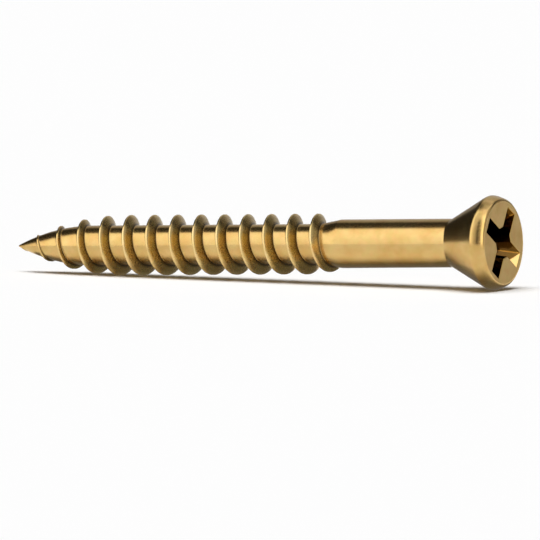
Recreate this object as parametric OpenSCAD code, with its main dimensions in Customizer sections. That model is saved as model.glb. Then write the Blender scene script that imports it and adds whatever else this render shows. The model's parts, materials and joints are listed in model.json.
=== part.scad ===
// Trim screw: a countersunk wood screw with a cross recess, a plain shank, a coarse
// right-hand thread and a gimlet point. It lies on its side as a dropped screw does,
// on the head's rim and one crest of the thread, with the head towards +X and z = 0
// under it. All sizes are in millimetres.

/* [Screw] */
// Length from the point to the head's face
screw_len = 38.1; // [30:0.1:60]
// Diameter of the plain shank under the head
shank_d = 3.37; // [3.1:0.01:3.7]

/* [Head] */
// Sharp-cornered diameter of the head, where the rim and the cone would meet
head_d = 6.64; // [6.3:0.01:7.6]
// Included angle of the cone under the head
cone_angle = 57; // [50:1:82]
// Height of the rim between the face and the cone
rim_h = 0.8; // [0.5:0.01:1.2]
// Sharp-cornered diameter of the flat face
face_d = 6.1; // [5.7:0.01:6.25]
// Radius of the round between the face and the rim
face_round = 0.23; // [0.1:0.01:0.35]
// Radius of the round between the rim and the cone
rim_round = 0.44; // [0.1:0.01:0.6]
// Radius of the fillet between the cone and the shank
neck_round = 0.3; // [0.2:0.05:1.5]

/* [Cross recess] */
// Distance across the tips of two opposite wings, at the face
recess_span = 5.1; // [4.4:0.01:5.4]
// Width of a wing at the face
wing_w = 1.06; // [0.9:0.01:1.2]
// Distance from the axis to the slanted corner between two wings, at the face
core_r = 1.07; // [0.95:0.01:1.2]
// Depth of the wings
recess_depth = 2.8; // [1.8:0.05:3.2]
// Further depth of the pointed bottom under the wings
recess_tip = 0.5; // [0.2:0.05:0.8]
// Slope of the wings' end walls from the axis
wing_end_angle = 26.5; // [20:0.5:30]
// Slope of the wings' side walls from the axis
wing_side_angle = 5.75; // [1:0.25:8]
// Slope of the slanted corners between the wings from the axis
core_angle = 9; // [4:0.5:12]
// Turn of the recess about the axis
recess_turn = 57.6; // [0:0.1:90]

/* [Thread] */
// Diameter over the crests of the thread
thread_d = 4.2; // [3.9:0.01:4.6]
// Diameter at the root of the thread
root_d = 2.77; // [2.5:0.01:3]
// Distance from one crest to the next
pitch = 1.843; // [1.6:0.001:2.4]
// Included angle between the two flanks
thread_angle = 55; // [45:1:60]
// Width of the flat along the crest
crest_w = 0.13; // [0.04:0.01:0.2]
// Distance from the face to where the thread dies out into the shank
thread_end = 12.55; // [8:0.05:18]
// Length along the axis in which the thread rises to its full height
fade_len = 1.4; // [0.8:0.05:3]
// Length of the taper from the shank down to the root
taper_len = 1.65; // [0.8:0.05:3]
// Turn about the axis at which the thread dies out
thread_turn = 180; // [0:1:360]

/* [Point] */
// Length in which the root narrows to the point
point_len = 5.84; // [4:0.01:8]
// Length in which the crests come down to the point
crest_point_len = 8.5; // [6.5:0.1:11]
// Distance past the point at which the line of the crests would meet the axis
crest_over = 0.1; // [0.05:0.01:0.2]
// Distance from the point to the first turn of the thread
first_turn = 0.8; // [0.6:0.05:1.5]
// Diameter of the point's blunt end
tip_d = 0.09; // [0.05:0.01:0.2]

/* [Hidden] */

$fn = 96;

// Radii of the given diameters
head_r = head_d / 2;
face_r = face_d / 2;
shank_r = shank_d / 2;
thread_r = thread_d / 2;
root_r = root_d / 2;
tip_r = tip_d / 2;

// Chords in each rounded corner, in the curve of the point and in one turn of thread
round_steps = 4;
point_steps = 10;
turn_steps = 40;

// How far the ridge of the thread reaches into the root, so that the two join
ridge_sink = 0.15;
// How far under the shank's surface the thread dies out
crest_sink = 0.06;
// How far the recess's cutter stands out of the face
cut_over = 0.2;

// Distance from the face to the neck, where the cone would meet the shank
neck_s = rim_h + (head_r - shank_r) / tan(cone_angle / 2);
// Distance from the face to the end of the taper, where the root begins
root_s = thread_end + taper_len;
// Distance from the face to the start of the point
point_s = screw_len - point_len;

function unit(v) = v / norm(v);

// Points of an arc of radius r that rounds the corner at b between a and c
function rounded(a, b, c, r) =
    let(to_a = unit(a - b),
        to_c = unit(c - b),
        half = acos(to_a * to_c) / 2,
        centre = b + unit(to_a + to_c) * r / sin(half),
        first = b + to_a * r / tan(half) - centre,
        last = b + to_c * r / tan(half) - centre,
        from = atan2(first[1], first[0]),
        swing = atan2(last[1], last[0]) - from,
        sweep = swing > 180 ? swing - 360 : swing < -180 ? swing + 360 : swing)
    [for (i = [0:round_steps])
        let(angle = from + sweep * i / round_steps)
        centre + r * [cos(angle), sin(angle)]];

// Share of its full radius that a curved point has at a distance from its end
function nose(distance, len) = distance >= len ? 1 : 1 - pow(1 - max(distance, 0) / len, 2);

// Radius of the shank, its taper, the root and the point, at s from the face
function root_at(s) =
    s <= thread_end ? shank_r :
    s <= root_s ? shank_r + (root_r - shank_r) * (s - thread_end) / taper_len :
    tip_r + (root_r - tip_r) * nose(screw_len - s, point_len);

// Radius of the thread's crest at s from the face
function crest_at(s) =
    let(start_r = shank_r - crest_sink,
        rising = start_r + (thread_r - start_r) * (s - thread_end) / fade_len,
        narrowing = thread_r * nose(screw_len + crest_over - s, crest_point_len))
    min(thread_r, rising, narrowing);

// Half section of the head, as [radius, height], from the face's middle to the neck
face_edge = [face_r, 0];
rim_edge = [head_r, -rim_h];
neck = [shank_r, -neck_s];
head_section = concat(
    [[0, 0]],
    rounded([0, 0], face_edge, rim_edge, face_round),
    rounded(face_edge, rim_edge, neck, rim_round),
    rounded(rim_edge, neck, [shank_r, -thread_end], neck_round));

// Half section from the shank to the point
shank_section = concat(
    [[shank_r, -thread_end]],
    [for (i = [0:point_steps])
        let(s = max(root_s, point_s) + (screw_len - max(root_s, point_s)) * i / point_steps)
        [root_at(s), -s]],
    [[0, -screw_len]]);

// One cross-section of the thread's ridge, a number of steps down the helix
function ridge_section(step) =
    let(s = thread_end + pitch * step / turn_steps,
        turn = thread_turn - 360 * step / turn_steps,
        top = crest_at(s),
        foot = root_at(s) - ridge_sink,
        half_foot = crest_w / 2 + (top - foot) * tan(thread_angle / 2))
    [for (p = [[foot, half_foot], [top, crest_w / 2], [top, -crest_w / 2], [foot, -half_foot]])
        [p[0] * cos(turn), p[0] * sin(turn), p[1] - s]];

// The outline of the cross recess at a depth, as points round the axis
function recess_ring(depth) =
    let(tip = recess_span / 2 - depth * tan(wing_end_angle),
        side = wing_w / 2 - depth * tan(wing_side_angle),
        inner = (core_r - depth * tan(core_angle)) * sqrt(2) - side)
    [for (wing = [0:3], p = [[inner, -side], [tip, -side], [tip, side], [inner, side]])
        let(angle = recess_turn + 90 * wing)
        [p[0] * cos(angle) - p[1] * sin(angle), p[0] * sin(angle) + p[1] * cos(angle), -depth]];

// The lie: crests that point straight down, and the tilt that brings one of them and
// the head's rim to the ground together
rim_r = max([for (p = head_section) p[0]]);
rim_s = -[for (p = head_section) if (p[0] == rim_r) p][0][1];
low_crests = [for (s = [thread_end + pitch * thread_turn / 360 : pitch : screw_len - first_turn]) s];
lie_tilt = min([for (s = low_crests) atan((rim_r - crest_at(s)) / (s - rim_s))]);
lift = max([for (p = head_section) p[0] * cos(lie_tilt) - p[1] * sin(lie_tilt)]);
front_x = max([for (p = head_section) p[0] * sin(lie_tilt) + p[1] * cos(lie_tilt)]);
back_x = -screw_len * cos(lie_tilt) - tip_r * sin(lie_tilt);

// Head, shank, root and point, turned as one
module blank() {
    rotate_extrude() polygon(concat(head_section, shank_section));
}

// Ridge of the thread, wound from the shank down to the point
module ridge() {
    last = floor((screw_len - first_turn - thread_end) * turn_steps / pitch);
    sides = [for (step = [0:last - 1], i = [0:3])
        let(a = 4 * step + i, b = 4 * step + (i + 1) % 4)
        each [[a, b, b + 4], [a, b + 4, a + 4]]];
    ends = [[3, 2, 1, 0], [4 * last, 4 * last + 1, 4 * last + 2, 4 * last + 3]];
    polyhedron([for (step = [0:last]) each ridge_section(step)], concat(sides, ends));
}

// Cutter for the cross recess
module recess() {
    bottom = [0, 0, -recess_depth - recess_tip];
    points = concat(recess_ring(-cut_over), recess_ring(recess_depth), [bottom]);
    walls = [for (i = [0:15]) [i, (i + 1) % 16, 16 + (i + 1) % 16, 16 + i]];
    floor_faces = [for (i = [0:15]) [16 + i, 16 + (i + 1) % 16, 32]];
    polyhedron(points, concat([[for (i = [15:-1:0]) i]], walls, floor_faces));
}

// Lays what stands along the axis, face up, down on its side
module lying() {
    translate([-(front_x + back_x) / 2, 0, lift])
        rotate([0, 90 - lie_tilt, 0])
            children();
}

module screw() {
    color("#c9a35b")
        lying()
            union() {
                difference() {
                    blank();
                    recess();
                }
                ridge();
            }
}

screw();
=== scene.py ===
"""A yellow zinc plated trim screw lying on a pale studio floor, laid out as an add-on.

The screw's skin is one closed mesh. Recess, face, rim, cone, shank, rolled thread and point
share the same columns of points round the axis, so they join without a seam, and the outer
edges have small rounds.
"""

import json
import math
from typing import NamedTuple

import bmesh
import bpy
from bpy.props import FloatProperty, FloatVectorProperty, PointerProperty
from mathutils import Matrix, Vector


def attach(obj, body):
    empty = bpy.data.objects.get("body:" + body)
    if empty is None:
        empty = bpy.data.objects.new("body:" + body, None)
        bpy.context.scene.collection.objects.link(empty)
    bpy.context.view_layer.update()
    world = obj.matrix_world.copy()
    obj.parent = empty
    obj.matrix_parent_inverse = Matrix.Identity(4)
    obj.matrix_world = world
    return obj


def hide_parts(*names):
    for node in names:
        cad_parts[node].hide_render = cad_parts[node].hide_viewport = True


bl_info = {
    "name": "Trim Screw",
    "version": (1, 0, 0),
    "blender": (4, 5, 0),
    "location": "View3D > Sidebar > Trim Screw",
    "description": "Builds a plated trim screw and a pale studio round it",
    "category": "Object",
}

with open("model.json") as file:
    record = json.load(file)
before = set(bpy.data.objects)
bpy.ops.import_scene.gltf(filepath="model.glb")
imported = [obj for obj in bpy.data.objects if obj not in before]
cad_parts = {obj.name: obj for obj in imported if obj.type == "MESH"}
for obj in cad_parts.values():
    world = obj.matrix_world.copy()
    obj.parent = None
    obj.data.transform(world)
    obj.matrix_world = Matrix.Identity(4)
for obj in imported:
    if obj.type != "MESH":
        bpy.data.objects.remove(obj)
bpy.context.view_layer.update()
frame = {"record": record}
MOUNTS = {mount["name"]: mount for mount in frame["record"]["mounts"]}

MM = 0.001

# Columns of points round the axis, by the walls of one wing of the recess: its end wall,
# one side wall, the slanted corner to the next wing, and that wing's side wall
END_STEPS, SIDE_STEPS, CORNER_STEPS = 10, 8, 14
WING_COLUMNS = END_STEPS + SIDE_STEPS + CORNER_STEPS + SIDE_STEPS
WINGS = 4
COLUMNS = WINGS * WING_COLUMNS

# Chords in each rounded edge of the head and in the round of the recess's mouth
ROUND_STEPS = 8
MOUTH_STEPS = 4
# A ring this close to a rounded edge keeps the shading of the flat beside it flat
GUARD = 0.03 * MM
# Edges that turn by more than this stay sharp
SHARP_ANGLE = math.radians(35)

# Where rings lie along the walls of the recess, the face, the cone and the shank, as shares of
# each; a ring close to an end keeps the shading of what lies beside it even
WALL_SHARES = (1.0, 0.98, 0.7, 0.4, 0.15)
FACE_SHARES = (0.0, 0.33, 0.67, 1.0)
CONE_SHARES = (0.02, 0.5, 0.98)
SHANK_SHARES = (0.01, 0.33, 0.67, 0.97, 1.0)
# Where the thread's rows lie on each side of a crest, as shares of half the crest's land, of
# the flank, of the fillet at its foot and of the root beyond
LAND_SHARES = (0.5, 0.7, 0.86, 1.0)
FLANK_SHARES = (0.35, 0.7, 1.0)
FOOT_SHARES = (-0.5, 0.0, 0.5, 1.0)
ROOT_SHARES = (0.3, 0.65)
# Where the thread's last ring and the plain rings below it lie, from the point's end in tip
# diameters. Then the rings of its blunt end: radius and distance from the end, in tip radii
THREAD_LAST = 4
POINT_RINGS = (3, 2, 1, 0.6)
TIP_RINGS = ((1.2, 0.6), (0.95, 0.25), (0.55, 0.05))

# Share of the crest's land that is flat, between its rounded corners
LAND_FLAT = 0.7
# The fillet at a flank's foot is no higher than this share of the root's radius
FOOT_LIMIT = 0.3
# Rows are laid out for a ridge of at least this height, in heights of the fillet at its foot
LEAST_RIDGE = 1.2
# Steps in which the place where a flank meets the root is found
FOOT_STEPS = 4
# The thread's rows start this share of the pitch above the place where it dies out
RUN_UP = 1 / 8
# Turns past both ends of the thread, whose rows are pressed onto the ends
SPARE_TURNS = 2
# Points of the thread closer than this are one point
WELD = 0.002 * MM

# The crest's lighter colour, partly chromate rubbed thin and partly a painted highlight, reaches
# just past its land, in half widths of the land
CREST_REACH = 1.05
# Heights above the root, in heights of the foot's fillet: where the painted shade in the corner at
# the flank's foot is full, and where the flank's darker colour, painted shade with a touch of
# olive, starts and is full
FOOT_SHADE_FULL = 0.25
OLIVE_SHADE_START, OLIVE_SHADE_FULL = 0.5, 2.5


def linear(hex_colour):
    """Linear RGB of an sRGB hex colour such as #CEA766."""
    channels = [int(hex_colour[i:i + 2], 16) / 255 for i in (1, 3, 5)]
    return tuple(c / 12.92 if c <= 0.04045 else ((c + 0.055) / 1.055) ** 2.4 for c in channels)


def rgba(colour):
    """A colour with full opacity."""
    return (*colour, 1.0)


def length_of(name, description, millimetres):
    """A property for a length, given in millimetres and kept in metres."""
    return FloatProperty(name=name, description=description, default=millimetres * MM,
                         min=0.0, unit="LENGTH", precision=5)


def angle_of(name, description, degrees):
    """A property for an angle, given in degrees."""
    return FloatProperty(name=name, description=description, default=math.radians(degrees),
                         subtype="ANGLE")


def colour_of(name, description, hex_colour):
    """A property for a colour, given as sRGB hex."""
    return FloatVectorProperty(name=name, description=description, default=linear(hex_colour),
                               size=3, min=0.0, max=1.0, subtype="COLOR")


def share_of(name, description, value, top=1.0):
    """A property for a plain number from nothing to a top value."""
    return FloatProperty(name=name, description=description, default=value, min=0.0, max=top)


class ScrewSizes(bpy.types.PropertyGroup):
    """Sizes of the screw: the part's own, but for wider wings, a crowned rim and small rounds."""

    length: length_of("Length", "From the point to the head's face", 38.1)
    shank_d: length_of("Shank", "Diameter of the plain shank", 3.37)

    head_d: length_of("Head", "Widest diameter of the head", 6.54)
    cone_angle: angle_of("Cone", "Included angle of the cone under the head", 57)
    face_round: length_of("Face round", "Radius of the round between the face and the rim", 0.22)
    rim_crown: length_of("Rim crown", "Radius of the rim's crowned band", 2.5)
    rim_lean: angle_of("Rim lean", "Lean of the crowned band at its middle", 20)
    rim_swing: angle_of("Rim swing", "Angle through which the crowned band turns", 14)
    rim_round: length_of("Rim round", "Radius of the round between the rim and the cone", 0.44)
    neck_round: length_of("Neck round", "Radius of the fillet between cone and shank", 0.3)

    recess_span: length_of("Recess span", "Across the tips of two opposite wings", 5.1)
    wing_w: length_of("Wing width", "Width of a wing at the face", 1.15)
    core_r: length_of("Recess core", "From the axis to the slanted corner between wings", 1.07)
    recess_depth: length_of("Recess depth", "Depth of the wings", 2.8)
    recess_tip: length_of("Recess tip", "Depth of the pointed bottom under the wings", 0.5)
    wing_end_angle: angle_of("Wing end slope", "Slope of the end walls from the axis", 26.5)
    wing_side_angle: angle_of("Wing side slope", "Slope of the side walls from the axis", 5.75)
    core_angle: angle_of("Corner slope", "Slope of the slanted corners from the axis", 9)
    recess_turn: angle_of("Recess turn", "Turn of the recess about the axis", 57.6)
    mouth_round: length_of("Mouth round", "Radius of the round along the recess's mouth", 0.03)

    thread_d: length_of("Thread", "Diameter over the crests", 4.2)
    root_d: length_of("Root", "Diameter at the root of the thread", 2.77)
    pitch: length_of("Pitch", "From one crest to the next", 1.843)
    thread_angle: angle_of("Thread angle", "Included angle between the flanks", 55)
    crest_w: length_of("Crest width", "Width of the land along the crest", 0.13)
    crest_drop: length_of("Crest round", "How far the land's corners are rounded off", 0.015)
    foot_round: length_of("Foot round", "Height of the fillet between flank and root", 0.06)
    thread_end: length_of("Thread end", "From the face to where the thread dies out", 12.55)
    fade_len: length_of("Thread fade", "Length in which the thread rises to full height", 1.4)
    taper_len: length_of("Taper", "Length of the taper from the shank to the root", 1.65)
    thread_turn: angle_of("Thread turn", "Turn about the axis at which the thread dies out", 180)

    point_len: length_of("Point", "Length in which the root narrows to the point", 5.84)
    crest_point_len: length_of("Crest point", "Length in which the crests come down", 8.5)
    crest_over: length_of("Crest over", "Past the point to where the crests meet the axis", 0.1)
    tip_d: length_of("Tip", "Diameter of the point's blunt end", 0.09)


class ScrewFinish(bpy.types.PropertyGroup):
    """Colours and roughness of the plating by surface; the darker colours paint shade and the
    crests' lighter one is partly a painted highlight.
    """

    plating: colour_of("Plating", "Yellow chromate over zinc", "#D6B778")
    # Lighter along the crests: chromate rubbed thin, and partly a painted highlight
    crest: colour_of("Crests", "Chromate rubbed thin and bright along the crests", "#EBD296")
    # Painted shade on the flanks: darker than the plating, with a touch of olive chromate
    olive_and_shade: colour_of("Flanks", "Olive chromate on the rolled flanks", "#BFA668")
    # Painted shade: the face is darker than the plating; the punch's dullness is in its roughness
    face: colour_of("Face", "Chromate on the face, duller where the punch struck it", "#BFA266")
    # Painted shade: a dark colour in the corner at each flank's foot, where shade falls
    corner: colour_of("Thread corners", "Dark chromate pooled at the flanks' feet", "#43341F")
    # Painted shade on the recess's side walls
    recess: colour_of("Recess", "Thin brown plating on the recess's side walls", "#6E5B31")
    # Painted shade, darkest at the bottom of the recess
    deep_recess_shade: colour_of("Recess bottom", "Dark steel that the plating hardly reached", "#3A2E1C")
    satin: share_of("Satin", "Roughness of the rim, cone, shank, root and crests", 0.2)
    headed: share_of("Headed", "Roughness of the headed face", 0.38)
    rolled: share_of("Rolled", "Roughness of the rolled flanks", 0.28)
    punched: share_of("Punched", "Roughness of the punched recess", 0.08)


class StudioLook(bpy.types.PropertyGroup):
    """Floor, light and camera."""

    floor: colour_of("Floor", "Pale floor", "#FAFAFA")
    fill: share_of("Fill", "Light from all round, as a share of white", 0.1)
    key: share_of("Key", "Strength of the soft key lamp", 2.93, 10.0)
    camera_turn: angle_of("Camera turn", "Camera's turn towards the head", 28.2)
    camera_rise: angle_of("Camera rise", "Camera's angle above the floor", 4.25)
    camera_away: length_of("Camera distance", "From the camera to the screw", 1500)
    picture_width: length_of("Picture width", "Width that the picture takes in", 37.38)
    aim: FloatVectorProperty(name="Aim", description="Point in the middle of the picture",
                             default=(0.555 * MM, 0.353 * MM, 0.757 * MM), size=3,
                             subtype="TRANSLATION", unit="LENGTH")


def nose(distance, length):
    """Share of its full radius that a curved point has at a distance from its end."""
    return 1.0 if distance >= length else 1.0 - (1.0 - max(distance, 0.0) / length) ** 2


def root_radius(size, s):
    """Radius of the shank, its taper, the root and the point, at s from the face."""
    shank_r, root_r, tip_r = size.shank_d / 2, size.root_d / 2, size.tip_d / 2
    if s <= size.thread_end:
        return shank_r
    if s <= size.thread_end + size.taper_len:
        return shank_r + (root_r - shank_r) * (s - size.thread_end) / size.taper_len
    return tip_r + (root_r - tip_r) * nose(size.length - s, size.point_len)


def crest_radius(size, s):
    """Radius of the thread's crest at s from the face."""
    thread_r = size.thread_d / 2
    # The thread dies out just under the shank's surface
    start_r = size.shank_d / 2 - size.foot_round
    rising = start_r + (thread_r - start_r) * (s - size.thread_end) / size.fade_len
    narrowing = thread_r * nose(size.length + size.crest_over - s, size.crest_point_len)
    return min(thread_r, rising, narrowing)


def smooth_max(a, b, blend):
    """The larger of two heights, with a fillet of the given height where they meet."""
    near = max(blend - abs(a - b), 0.0)
    return max(a, b) + near * near / (4 * blend)


def thread_radius(size, s, crest_s):
    """Radius of the threaded skin at s, near the crest that lies at crest_s."""
    half_land = size.crest_w / 2
    off = abs(s - crest_s)
    corner = max(min(off / half_land, 1.0) - LAND_FLAT, 0.0) / (1 - LAND_FLAT)
    flank = max(off - half_land, 0.0) / math.tan(size.thread_angle / 2)
    ridge = crest_radius(size, crest_s) - size.crest_drop * corner ** 2 - flank
    root = root_radius(size, s)
    return smooth_max(root, ridge, min(size.foot_round, FOOT_LIMIT * root))


def arc(start, radius, first, last):
    """Section points from start, turning from one lean towards the face to another.

    A point is (radius, depth); a negative radius makes a hollow round.
    """
    leans = [first + (last - first) * i / ROUND_STEPS for i in range(ROUND_STEPS + 1)]
    return [(start[0] + radius * (math.cos(lean) - math.cos(first)),
             start[1] - radius * (math.sin(lean) - math.sin(first))) for lean in leans]


def head_section(size):
    """Half section of the head, as (radius, depth), from the flat face's edge to the shank."""
    half_cone = size.cone_angle / 2
    front, back = size.rim_lean + size.rim_swing / 2, size.rim_lean - size.rim_swing / 2
    # From the flat face's edge out to the widest place of the rim
    inset = (size.face_round * math.cos(front) + size.rim_crown * (math.cos(back) - math.cos(front))
             + size.rim_round * (1 - math.cos(back)))
    points = arc((size.head_d / 2 - inset, 0.0), size.face_round, math.pi / 2, front)
    points += arc(points[-1], size.rim_crown, front, back)[1:]
    points += arc(points[-1], size.rim_round, back, -half_cone)[1:]
    cone_top = points[-1]
    cone_foot_r = size.shank_d / 2 + size.neck_round * (1 - math.cos(half_cone))
    cone_foot = (cone_foot_r, cone_top[1] + (cone_top[0] - cone_foot_r) / math.tan(half_cone))
    along = Vector(cone_foot) - Vector(cone_top)
    points += [tuple(Vector(cone_top) + along * share) for share in CONE_SHARES]
    points += arc(cone_foot, -size.neck_round, -half_cone, 0.0)
    return points


def recess_outline(size, depth, grow):
    """The cross recess at a depth, one point for each column; grow widens its mouth."""
    tip = size.recess_span / 2 - depth * math.tan(size.wing_end_angle) + grow
    side = size.wing_w / 2 - depth * math.tan(size.wing_side_angle) + grow
    core = size.core_r - depth * math.tan(size.core_angle) + grow
    inner = core * math.sqrt(2) - side
    outline = []
    for wing in range(WINGS):
        here = Matrix.Rotation(size.recess_turn + wing * math.pi / 2, 2)
        following = Matrix.Rotation(size.recess_turn + (wing + 1) * math.pi / 2, 2)
        corners = [here @ Vector((tip, -side)), here @ Vector((tip, side)),
                   here @ Vector((inner, side)), following @ Vector((inner, -side)),
                   following @ Vector((tip, -side))]
        steps = (END_STEPS, SIDE_STEPS, CORNER_STEPS, SIDE_STEPS)
        for begin, end, count in zip(corners, corners[1:], steps):
            outline += [begin.lerp(end, i / count) for i in range(count)]
    return outline


def column_angle(size, column):
    """Angle of a column round the axis; the first starts at a wing's end corner."""
    return size.recess_turn + 2 * math.pi * (column - END_STEPS / 2) / COLUMNS


class Look(NamedTuple):
    """Colour and roughness of the plating at a point; the colour holds any painted shade or
    highlight.
    """

    colour: tuple
    roughness: float

    def towards(self, other, share):
        """This look with a share of the way gone towards another."""
        colour = [a + (b - a) * share for a, b in zip(self.colour, other.colour)]
        return Look(colour, self.roughness + (other.roughness - self.roughness) * share)


class Skin:
    """Points and faces of the screw, standing on its axis with the face at z = 0."""

    def __init__(self, size, finish):
        self.points = []
        self.faces = []
        self.colours = []
        self.roughness = []
        self.plated = Look(finish.plating, finish.satin)
        # The face and the mouth's round: painted shade, darker than the plating
        self.headed = Look(finish.face, finish.headed)
        # The crests: rubbed chromate and partly a painted highlight
        self.crest = Look(finish.crest, finish.satin)
        # The flanks: painted shade, darker than the plating, with a touch of olive chromate, and
        # the rolled roughness
        self.rolled = Look(finish.olive_and_shade, finish.rolled)
        # Painted shade in the corners at the flanks' feet
        self.corner = Look(finish.corner, finish.rolled)
        # Painted shade in the recess, from its side walls down to the bottom
        self.punched = Look(finish.recess, finish.punched)
        self.recess_bottom_shade = Look(finish.deep_recess_shade, finish.punched)
        self.end_wall = Look(finish.plating, finish.punched)
        self.turns = [(math.cos(a), math.sin(a))
                      for a in (column_angle(size, i) for i in range(COLUMNS))]

    def point(self, x, y, depth, look):
        """Add a point, and give its number."""
        self.points.append((x, y, -depth))
        self.colours.append(rgba(look.colour))
        self.roughness.append(look.roughness)
        return len(self.points) - 1

    def ring(self, radius, depth):
        """A round ring of plated points."""
        return [self.point(radius * cos, radius * sin, depth, self.plated)
                for cos, sin in self.turns]

    def outline(self, places, depth, looks):
        """A ring of points of any outline."""
        return [self.point(place[0], place[1], depth, look)
                for place, look in zip(places, looks)]

    def face(self, corners):
        """A face with each of its corners once, unless fewer than three are left."""
        corners = list(dict.fromkeys(corners))
        if len(corners) > 2:
            self.faces.append(corners)

    def chain(self, rings):
        """Faces from each ring to the next."""
        for upper, lower in zip(rings, rings[1:]):
            for i in range(COLUMNS):
                j = (i + 1) % COLUMNS
                self.face((upper[i], upper[j], lower[j], lower[i]))

    def cap(self, ring, apex):
        """Faces from a ring to a single point."""
        for i in range(COLUMNS):
            self.faces.append((ring[i], ring[(i + 1) % COLUMNS], apex))


def recess_rings(skin, size):
    """Rings up the recess, from its bottom to the mouth's outer edge on the face."""
    depths = [size.mouth_round + (size.recess_depth - size.mouth_round) * share
              for share in WALL_SHARES]
    depths.append(size.mouth_round + GUARD)
    rings = []
    for depth in depths:
        # The end walls face out and keep the plating's colour; the walls between them get painted
        # shade, darker towards the bottom
        shaded_wall = skin.punched.towards(skin.recess_bottom_shade, depth / size.recess_depth)
        looks = [shaded_wall if i % WING_COLUMNS > END_STEPS else skin.end_wall for i in range(COLUMNS)]
        rings.append(skin.outline(recess_outline(size, depth, 0.0), depth, looks))
    for i in range(MOUTH_STEPS + 1):
        swing = math.pi / 2 * i / MOUTH_STEPS
        depth = size.mouth_round * (1 - math.sin(swing))
        grow = size.mouth_round * (1 - math.cos(swing))
        looks = [skin.headed] * COLUMNS
        rings.append(skin.outline(recess_outline(size, depth, grow), depth, looks))
    return rings


def face_rings(skin, size, edge_r):
    """Rings over the flat face, from beside the mouth to beside its rounded edge."""
    mouth = recess_outline(size, 0.0, size.mouth_round + GUARD)
    edge = [(edge_r - GUARD) * Vector(turn) for turn in skin.turns]
    looks = [skin.headed] * COLUMNS
    return [skin.outline([a.lerp(b, share) for a, b in zip(mouth, edge)], 0.0, looks)
            for share in FACE_SHARES]


def thread_rows(skin, size, first_ring, first_s, last_s):
    """Rows that follow the helix, from the shank's last ring to a ring near the point."""
    known = {(i, round(first_s / WELD)): index for i, index in enumerate(first_ring)}
    half_pitch = size.pitch / 2
    half_land = size.crest_w / 2
    flank_run = math.tan(size.thread_angle / 2)
    spread = size.foot_round * flank_run
    full_height = (size.thread_d - size.root_d) / 2

    def foot_offset(crest_s, side):
        # The root slopes at the taper and the point, so the place is found in a few steps
        foot = half_land
        for _ in range(FOOT_STEPS):
            height = crest_radius(size, crest_s) - root_radius(size, crest_s + side * foot)
            foot = half_land + max(height, LEAST_RIDGE * size.foot_round) * flank_run
        return foot

    def side_offsets(foot):
        side = [half_land * share for share in LAND_SHARES]
        side += [half_land + (foot - spread - half_land) * share for share in FLANK_SHARES]
        side += [foot + spread * share for share in FOOT_SHARES]
        side += [foot + spread + (half_pitch - foot - spread) * share for share in ROOT_SHARES]
        return side

    def offsets(crest_s):
        before, after = (side_offsets(foot_offset(crest_s, side)) for side in (-1, 1))
        return [-half_pitch] + [-off for off in reversed(before)] + [0.0] + after

    def crest_place(turn, column):
        angle = column_angle(size, column)
        return size.thread_end + size.pitch * (turn + (size.thread_turn - angle) / (2 * math.pi))

    def thread_look(s, crest_s, radius):
        rise = radius - root_radius(size, s)
        if rise <= 0.0:
            return skin.plated
        # Crests: lighter the higher the ridge, rubbed chromate and partly a painted highlight
        if abs(s - crest_s) < CREST_REACH * half_land:
            return skin.plated.towards(skin.crest, min(rise / full_height, 1.0))
        fillets = rise / size.foot_round
        # Painted shade: darker in the corner where the flank meets the root
        foot = skin.plated.towards(skin.corner, min(fillets / FOOT_SHADE_FULL, 1.0))
        # Up the flank the colour goes to the darker olive: painted shade with a touch of olive
        # chromate
        olive_and_shade = max(fillets - OLIVE_SHADE_START, 0.0) / (OLIVE_SHADE_FULL - OLIVE_SHADE_START)
        return foot.towards(skin.rolled, min(olive_and_shade, 1.0))

    def vertex(column, s, crest_s):
        s = min(max(s, first_s), last_s)
        key = (column, round(s / WELD))
        if key not in known:
            radius = thread_radius(size, s, crest_s)
            cos, sin = skin.turns[column]
            look = thread_look(s, crest_s, radius)
            known[key] = skin.point(radius * cos, radius * sin, s, look)
        return known[key]

    last_turn = math.ceil((last_s - size.thread_end) / size.pitch) + SPARE_TURNS
    rows = []
    for turn in range(-SPARE_TURNS, last_turn + 1):
        places = [crest_place(turn, i) for i in range(COLUMNS)]
        columns = [[vertex(i, place + off, place) for off in offsets(place)]
                   for i, place in enumerate(places)]
        rows.append(list(zip(*columns)))
    flat = [row for turn_rows in rows for row in turn_rows]
    per_turn = len(rows[0])
    for number in range(len(flat) - 1):
        upper, lower = flat[number], flat[number + 1]
        # Going once round the axis leads to the same row of the turn before
        for i in range(COLUMNS):
            if i + 1 < COLUMNS:
                skin.face((upper[i], upper[i + 1], lower[i + 1], lower[i]))
            elif number >= per_turn:
                skin.face((upper[i], flat[number - per_turn][0], flat[number + 1 - per_turn][0],
                           lower[i]))
    return [known[(i, round(last_s / WELD))] for i in range(COLUMNS)]


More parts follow.
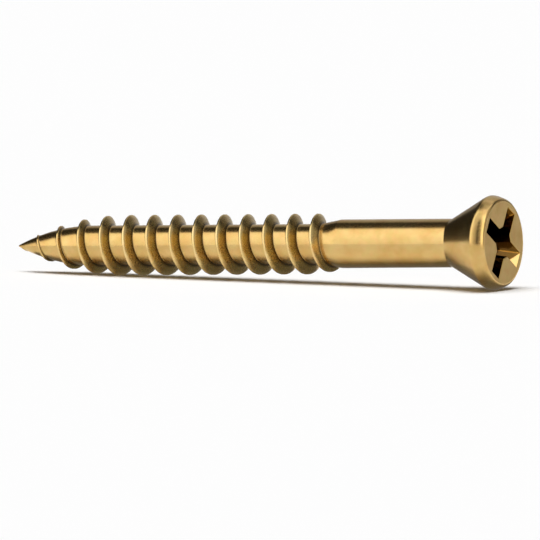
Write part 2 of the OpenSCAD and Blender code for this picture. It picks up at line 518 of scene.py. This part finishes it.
def screw_skin(size, finish):
    """The whole skin, from the bottom of the recess to the point."""
    skin = Skin(size, finish)
    section = head_section(size)
    recess = recess_rings(skin, size)
    face = face_rings(skin, size, section[0][0])
    head = [skin.ring(radius, depth) for radius, depth in section]

    thread_top = size.thread_end - RUN_UP * size.pitch
    shank_top = section[-1][1]
    shank = [skin.ring(size.shank_d / 2, shank_top + (thread_top - shank_top) * share)
             for share in SHANK_SHARES]
    skin.chain(recess + face + head + shank)
    bottom = size.recess_depth + size.recess_tip
    skin.cap(recess[0], skin.point(0.0, 0.0, bottom, skin.recess_bottom_shade))

    thread_foot = size.length - THREAD_LAST * size.tip_d
    last = thread_rows(skin, size, shank[-1], thread_top, thread_foot)
    depths = [size.length - left * size.tip_d for left in POINT_RINGS]
    point = [skin.ring(root_radius(size, depth), depth) for depth in depths]
    tip_r = size.tip_d / 2
    point += [skin.ring(tip_r * width, size.length - tip_r * left) for width, left in TIP_RINGS]
    skin.chain([last] + point)
    skin.cap(point[-1], skin.point(0.0, 0.0, size.length, skin.plated))
    return skin


def lying_matrix():
    """Puts the standing screw where the part lies: the recess's mount gives its face."""
    mount = MOUNTS["drive_recess"]
    axis = Vector(mount["axis"]).normalized()
    across = Vector((0, 1, 0))
    down = across.cross(axis)
    turn = Matrix((down, across, axis)).transposed().to_4x4()
    return Matrix.Translation(mount["pos_m"]) @ turn


def add_node(tree, kind, inputs=None, **settings):
    """Add a node with its settings; an input is a value, or a socket to link."""
    node = tree.nodes.new(kind)
    for name, value in settings.items():
        setattr(node, name, value)
    for name, value in (inputs or {}).items():
        if isinstance(value, bpy.types.NodeSocket):
            tree.links.new(value, node.inputs[name])
        else:
            node.inputs[name].default_value = value
    return node


# Sockets of a colour mix: factor, the two colours and the result
MIX_FACTOR, MIX_A, MIX_B, MIX_RESULT = 0, 6, 7, 2

# Sizes of the plating's patterns: patches of thicker chromate, flecks of its play of colour, the
# satin grain of the barrel, which is finer in truth and drawn so that it shows, and the
# spacing of the rings that the rolling dies leave
PATCH = 1.2 * MM
FLECK = 0.5 * MM
GRAIN = 0.12 * MM
RING_SPACING = 0.2 * MM
# Tints that thin and thick chromate and its two hues give the plating
THIN, THICK = "#FFFFFF", "#F4EADA"
PINK, GREEN = "#FFF8F7", "#FAFBF3"
# Parts of the noises that are stretched to the full range, for tints and for the grain
TINT_LOW, TINT_HIGH = 0.35, 0.65
GRAIN_LOW, GRAIN_HIGH = 0.3, 0.7
# What the grain makes of the roughness, as factors
SMOOTHEST, ROUGHEST = 0.85, 1.15
# Height of the rings and the grain, and how strongly they show
RELIEF_HEIGHT = 0.002 * MM
RELIEF_STRENGTH = 0.4


def plated_steel():
    """Yellow zinc plated steel: cold-headed wire, thread rolled, barrel plated, chromated.

    Barrel plating leaves a satin skin that mirrors softly, and the chromate's uneven
    thickness shifts its straw colour by a shade, here to pink and there to green.
    Rolling leaves faint rings round it. The skin's points hold what differs from place
    to place: the plating's colour, with painted shade and highlights, and its roughness.
    """
    material = bpy.data.materials.new("yellow_zinc_plated_steel")
    material.use_nodes = True
    tree = material.node_tree
    shader = tree.nodes["Principled BSDF"]
    shader.inputs["Metallic"].default_value = 1.0
    place = add_node(tree, "ShaderNodeTexCoord").outputs["Object"]
    base = add_node(tree, "ShaderNodeAttribute", attribute_name="plating_shade_and_highlight")
    matt = add_node(tree, "ShaderNodeAttribute", attribute_name="plating_roughness")

    # Patches of thicker chromate, about 1.2 mm across
    patches = add_node(tree, "ShaderNodeTexNoise",
                       {"Vector": place, "Scale": 1 / PATCH, "Detail": 3.0})
    thickness = add_node(tree, "ShaderNodeMapRange",
                         {"Value": patches.outputs["Fac"], "From Min": TINT_LOW,
                          "From Max": TINT_HIGH})
    shade = add_node(tree, "ShaderNodeMix",
                     {MIX_FACTOR: thickness.outputs["Result"], MIX_A: rgba(linear(THIN)),
                      MIX_B: rgba(linear(THICK))}, data_type="RGBA")
    # Its play of colour, in flecks of 0.5 mm
    flecks = add_node(tree, "ShaderNodeTexNoise",
                      {"Vector": place, "Scale": 1 / FLECK, "Detail": 2.0})
    hue = add_node(tree, "ShaderNodeMapRange",
                   {"Value": flecks.outputs["Fac"], "From Min": TINT_LOW, "From Max": TINT_HIGH})
    play = add_node(tree, "ShaderNodeMix",
                    {MIX_FACTOR: hue.outputs["Result"], MIX_A: rgba(linear(PINK)),
                     MIX_B: rgba(linear(GREEN))}, data_type="RGBA")
    tint = add_node(tree, "ShaderNodeMix",
                    {MIX_FACTOR: 1.0, MIX_A: shade.outputs[MIX_RESULT],
                     MIX_B: play.outputs[MIX_RESULT]}, data_type="RGBA", blend_type="MULTIPLY")
    colour = add_node(tree, "ShaderNodeMix",
                      {MIX_FACTOR: 1.0, MIX_A: base.outputs["Color"],
                       MIX_B: tint.outputs[MIX_RESULT]}, data_type="RGBA",
                      blend_type="MULTIPLY")
    tree.links.new(colour.outputs[MIX_RESULT], shader.inputs["Base Color"])

    # Satin grain of the barrel: finer in truth, drawn at 0.12 mm so that it shows
    grain = add_node(tree, "ShaderNodeTexNoise",
                     {"Vector": place, "Scale": 1 / GRAIN, "Detail": 2.0})
    spread = add_node(tree, "ShaderNodeMapRange",
                      {"Value": grain.outputs["Fac"], "From Min": GRAIN_LOW,
                       "From Max": GRAIN_HIGH, "To Min": SMOOTHEST, "To Max": ROUGHEST})
    roughness = add_node(tree, "ShaderNodeMath",
                         {0: matt.outputs["Fac"], 1: spread.outputs["Result"]},
                         operation="MULTIPLY")
    tree.links.new(roughness.outputs["Value"], shader.inputs["Roughness"])

    # Rings that the rolling dies leave, 0.2 mm apart along the axis
    along = add_node(tree, "ShaderNodeVectorMath",
                     {0: place, 1: MOUNTS["drive_recess"]["axis"]}, operation="DOT_PRODUCT")
    rings = add_node(tree, "ShaderNodeTexNoise",
                     {"W": along.outputs["Value"], "Scale": 1 / RING_SPACING, "Detail": 2.0},
                     noise_dimensions="1D")
    relief = add_node(tree, "ShaderNodeMath",
                      {0: rings.outputs["Fac"], 1: grain.outputs["Fac"]}, operation="ADD")
    bump = add_node(tree, "ShaderNodeBump",
                    {"Height": relief.outputs["Value"], "Distance": RELIEF_HEIGHT,
                     "Strength": RELIEF_STRENGTH})
    tree.links.new(bump.outputs["Normal"], shader.inputs["Normal"])
    return material


class TRIMSCREW_OT_screw(bpy.types.Operator):
    """Build the screw's skin and its plating over the CAD solid"""

    bl_idname = "trim_screw.screw"
    bl_label = "Add Screw"

    def execute(self, context):
        skin = screw_skin(context.scene.screw_sizes, context.scene.screw_finish)
        mesh = bpy.data.meshes.new("screw_skin")
        mesh.from_pydata(skin.points, [], skin.faces)
        mesh.transform(lying_matrix())
        shape = bmesh.new()
        shape.from_mesh(mesh)
        bmesh.ops.recalc_face_normals(shape, faces=shape.faces)
        loose = [edge for edge in shape.edges if not edge.is_manifold]
        shape.to_mesh(mesh)
        shape.free()
        if loose:
            raise RuntimeError(f"the screw's skin is open at {len(loose)} edges")
        mesh.shade_smooth()
        mesh.set_sharp_from_angle(angle=SHARP_ANGLE)
        # Point colours: the plating, with painted shade and highlights
        colours = mesh.attributes.new("plating_shade_and_highlight", "FLOAT_COLOR", "POINT")
        colours.data.foreach_set("color", [c for colour in skin.colours for c in colour])
        roughness = mesh.attributes.new("plating_roughness", "FLOAT", "POINT")
        roughness.data.foreach_set("value", skin.roughness)
        mesh.materials.append(plated_steel())
        screw = bpy.data.objects.new("screw_skin", mesh)
        context.collection.objects.link(screw)
        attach(screw, "root")
        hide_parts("screw")
        return {"FINISHED"}


def direction(turn, rise):
    """Unit vector at a turn from the front towards +X and a rise above the floor."""
    around, above = math.radians(turn), math.radians(rise)
    level = math.cos(above)
    return Vector((math.sin(around) * level, -math.cos(around) * level, math.sin(above)))


class Card(NamedTuple):
    """A card of the studio: its reach in degrees round and above the screw, and its level."""

    turns: tuple
    rises: tuple
    level: float


# Cards that stand on the floor reach below it and cards overhead past the zenith, so that
# their soft edges lie out of sight
BELOW, OVERHEAD = -10, 100
# What the metal mirrors: bright softboxes, and grey cards and black flags between them. The
# comments say where on the screw they show from the front
CARDS = {
    # The broad highlight along the shank and the thread's root
    "left_softbox": Card((-70, -30), (BELOW, 60), 1.6),
    "left_softbox_edge": Card((-30, -5), (BELOW, 50), 1.2),
    # The rolled flanks, by way of the ridges across from them
    "left_softbox_top": Card((-76, -25), (64, 78), 1.6),
    # The dark line between the rim's two bright ones
    "front_gap": Card((-5, 7), (BELOW, 50), 0.8),
    "front_flag": Card((7, 22), (BELOW, 60), 0.03),
    # The bright edge of the face and the lit end of the recess
    "right_softbox": Card((24, 75), (BELOW, 74), 2.0),
    # The face
    "right_card": Card((75, 150), (BELOW, 20), 0.5),
    "right_card_top": Card((75, 128), (20, 66), 0.5),
    # The tops of the ridges, dark to light from left to right
    "right_flag": Card((128, 150), (20, 48), 0.02),
    "far_card": Card((150, 172), (BELOW, 60), 0.2),
    "far_grey_card": Card((172, 215), (BELOW, 55), 0.55),
    # The dark band along the top of the shank, and the cone's dark upper half
    "left_grey_edge": Card((-145, -134), (25, 58), 0.35),
    "left_flag": Card((-134, -73), (25, 64), 0.03),
    "low_left_grey_edge": Card((-145, -129), (BELOW, 25), 0.27),
    "low_left_flag": Card((-129, -76), (BELOW, 25), 0.02),
    # The rim's dark upper left, the greys beside it, and the rim's top
    "left_flag_top": Card((-148, -76), (64, 82), 0.17),
    "far_left_grey_card": Card((-162, -148), (58, 78), 0.5),
    "far_top_card": Card((160, 198), (60, 78), 0.55),
    "top_card": Card((125, 325), (80, OVERHEAD), 0.5),
    "top_right_softbox": Card((-35, 125), (77, OVERHEAD), 1.35),
}
# Degrees on each side of a card's edge in which it passes into its neighbour
CARD_EDGE = 3
# Degrees from one point of the dome of cards to the next
DOME_STEP = 2
# A grey card on the floor under the screw, seen only in reflections: a painted shadow that darkens
# the underside's reflection of the floor. It thins out from its inner corners to its outer ones,
# both in mm;
# its height above the floor and its level follow
UNDER_INNER = ((-19, -0.2), (13, -0.2), (16.5, -1.0), (18.6, -1.5), (19.2, -0.6), (19.2, 3.5),
               (-19, 2))
UNDER_OUTER = ((-19.5, -0.8), (13, -0.9), (16, -2.6), (19.2, -3.6), (20.6, -1), (20.6, 5),
               (-19.5, 3))
UNDER_HEIGHT = 0.005 * MM
UNDER_LEVEL = 0.18
# Distance of the cards and the lamp from the screw, half the floor's width, and how far the
# camera sees, in metres
STUDIO_RADIUS = 3.0
FLOOR_HALF = 12.0
CAMERA_REACH = 100.0
# The key lamp's place round and above the screw, in degrees, and how wide its light is
KEY_TURN, KEY_RISE = -20, 86
KEY_WIDTH = math.radians(45)


def soft_share(place, reach):
    """How much of a card is at a place along one of its reaches, soft at both its ends."""
    inside = min(place - reach[0], reach[1] - place)
    return min(max(0.5 + inside / (2 * CARD_EDGE), 0.0), 1.0)


def studio_level(turn, rise):
    """Brightness of the studio in a direction: the floor's white, but for the cards."""
    level = 1.0
    for card in CARDS.values():
        around = sum(soft_share(turn + lap, card.turns) for lap in (-360, 0, 360))
        level += around * soft_share(rise, card.rises) * (card.level - 1.0)
    return level


def dome():
    """Points, faces, levels and covers of the dome of cards round the screw."""
    turns, rises = range(0, 360, DOME_STEP), range(0, 90 + DOME_STEP, DOME_STEP)
    points = [direction(turn, rise) * STUDIO_RADIUS for turn in turns for rise in rises]
    levels = [studio_level(turn, rise) for turn in turns for rise in rises]
    row = len(rises)
    faces = []
    for i in range(len(turns)):
        here, following = i * row, (i + 1) % len(turns) * row
        faces += [(here + j, following + j, following + j + 1, here + j + 1)
                  for j in range(row - 1)]
    return points, faces, levels, [1.0] * len(points)


def soft_card():
    """Points, faces, levels and covers of the grey card under the screw, a painted shadow in its
    reflections.
    """
    count = len(UNDER_INNER)
    points = [(x * MM, y * MM, UNDER_HEIGHT) for x, y in UNDER_INNER + UNDER_OUTER]
    ring = [(i, (i + 1) % count, count + (i + 1) % count, count + i) for i in range(count)]
    covers = [1.0] * count + [0.0] * count
    return points, [range(count), *ring], [UNDER_LEVEL] * len(points), covers


def add_mirrored(context, name, points, faces, levels, covers):
    """A piece of the studio that only reflections show.

    Each point has a level, 1 where it is as bright as the white floor, and a cover, from 1
    down to 0 where the piece thins out to nothing.
    """
    mesh = bpy.data.meshes.new(name)
    mesh.from_pydata(points, [], faces)
    mesh.attributes.new("level", "FLOAT", "POINT").data.foreach_set("value", levels)
    mesh.attributes.new("cover", "FLOAT", "POINT").data.foreach_set("value", covers)
    material = bpy.data.materials.new(name)
    material.use_nodes = True
    tree = material.node_tree
    tree.nodes.clear()
    level = add_node(tree, "ShaderNodeAttribute", attribute_name="level")
    cover = add_node(tree, "ShaderNodeAttribute", attribute_name="cover")
    clear = add_node(tree, "ShaderNodeBsdfTransparent")
    glow = add_node(tree, "ShaderNodeEmission", {"Strength": level.outputs["Fac"]})
    surface = add_node(tree, "ShaderNodeMixShader",
                       {0: cover.outputs["Fac"], 1: clear.outputs["BSDF"],
                        2: glow.outputs["Emission"]})
    add_node(tree, "ShaderNodeOutputMaterial", {"Surface": surface.outputs["Shader"]})
    mesh.materials.append(material)
    piece = bpy.data.objects.new(name, mesh)
    piece.visible_camera = False
    piece.visible_diffuse = False
    piece.visible_shadow = False
    context.collection.objects.link(piece)


class TRIMSCREW_OT_stage(bpy.types.Operator):
    """Lay the pale floor, light the studio and place the camera"""

    bl_idname = "trim_screw.stage"
    bl_label = "Add Stage"

    def execute(self, context):
        look = context.scene.studio_look
        self.add_floor(context, look)
        self.add_world(context, look)
        self.add_light(context, look)
        self.add_camera(context, look)
        context.scene.view_settings.view_transform = "Standard"
        return {"FINISHED"}

    def add_floor(self, context, look):
        mesh = bpy.data.meshes.new("floor")
        corners = [(-FLOOR_HALF, -FLOOR_HALF, 0), (FLOOR_HALF, -FLOOR_HALF, 0),
                   (FLOOR_HALF, FLOOR_HALF, 0), (-FLOOR_HALF, FLOOR_HALF, 0)]
        mesh.from_pydata(corners, [], [(0, 1, 2, 3)])
        # Matt white studio paper
        material = bpy.data.materials.new("matt_white_paper")
        material.use_nodes = True
        shader = material.node_tree.nodes["Principled BSDF"]
        shader.inputs["Base Color"].default_value = rgba(look.floor)
        shader.inputs["Roughness"].default_value = 1.0
        shader.inputs["Specular IOR Level"].default_value = 0.0
        mesh.materials.append(material)
        floor = bpy.data.objects.new("floor", mesh)
        context.collection.objects.link(floor)

    def add_world(self, context, look):
        world = bpy.data.worlds.new("white_studio")
        world.use_nodes = True
        tree = world.node_tree
        tree.nodes.clear()
        path = add_node(tree, "ShaderNodeLightPath").outputs
        seen = add_node(tree, "ShaderNodeMath",
                        {0: path["Is Camera Ray"], 1: path["Is Glossy Ray"]},
                        operation="MAXIMUM")
        seen = add_node(tree, "ShaderNodeMath",
                        {0: seen.outputs["Value"], 1: path["Is Transmission Ray"]},
                        operation="MAXIMUM")
        level = add_node(tree, "ShaderNodeMapRange",
                         {"Value": seen.outputs["Value"], "To Min": look.fill, "To Max": 1.0})
        sky = add_node(tree, "ShaderNodeBackground",
                       {"Color": (1, 1, 1, 1), "Strength": level.outputs["Result"]})
        add_node(tree, "ShaderNodeOutputWorld", {"Surface": sky.outputs["Background"]})
        context.scene.world = world

    def add_light(self, context, look):
        data = bpy.data.lights.new("key_lamp", "SUN")
        data.energy = look.key
        data.angle = KEY_WIDTH
        key = bpy.data.objects.new("key_lamp", data)
        key.location = direction(KEY_TURN, KEY_RISE) * STUDIO_RADIUS
        key.rotation_euler = (-key.location).to_track_quat("-Z", "Y").to_euler()
        key.visible_camera = False
        key.visible_glossy = False
        context.collection.objects.link(key)
        add_mirrored(context, "dome_of_cards", *dome())
        # A painted shadow under the screw, for its underside's reflections
        add_mirrored(context, "painted_shadow_card", *soft_card())

    def add_camera(self, context, look):
        data = bpy.data.cameras.new("camera")
        data.lens = data.sensor_width * look.camera_away / look.picture_width
        data.clip_end = CAMERA_REACH
        camera = bpy.data.objects.new("camera", data)
        back = direction(math.degrees(look.camera_turn), math.degrees(look.camera_rise))
        camera.location = Vector(look.aim) + back * look.camera_away
        camera.rotation_euler = (-back).to_track_quat("-Z", "Y").to_euler()
        context.collection.objects.link(camera)
        context.scene.camera = camera


class TRIMSCREW_PT_panel(bpy.types.Panel):
    """Settings and steps of the trim screw"""

    bl_idname = "TRIMSCREW_PT_panel"
    bl_label = "Trim Screw"
    bl_space_type = "VIEW_3D"
    bl_region_type = "UI"
    bl_category = "Trim Screw"

    def draw(self, context):
        layout = self.layout
        scene = context.scene
        for title, group in (("Screw", scene.screw_sizes), ("Plating", scene.screw_finish),
                             ("Studio", scene.studio_look)):
            box = layout.box()
            box.label(text=title)
            for name in group.bl_rna.properties.keys():
                if name not in {"rna_type", "name"}:
                    box.prop(group, name)
        layout.operator(TRIMSCREW_OT_screw.bl_idname)
        layout.operator(TRIMSCREW_OT_stage.bl_idname)


CLASSES = (ScrewSizes, ScrewFinish, StudioLook, TRIMSCREW_OT_screw, TRIMSCREW_OT_stage,
           TRIMSCREW_PT_panel)


def register():
    for cls in CLASSES:
        bpy.utils.register_class(cls)
    bpy.types.Scene.screw_sizes = PointerProperty(type=ScrewSizes)
    bpy.types.Scene.screw_finish = PointerProperty(type=ScrewFinish)
    bpy.types.Scene.studio_look = PointerProperty(type=StudioLook)


def unregister():
    del bpy.types.Scene.studio_look
    del bpy.types.Scene.screw_finish
    del bpy.types.Scene.screw_sizes
    for cls in reversed(CLASSES):
        bpy.utils.unregister_class(cls)


def main():
    register()
    bpy.ops.trim_screw.screw()
    bpy.ops.trim_screw.stage()


if __name__ == "__main__":
    main()
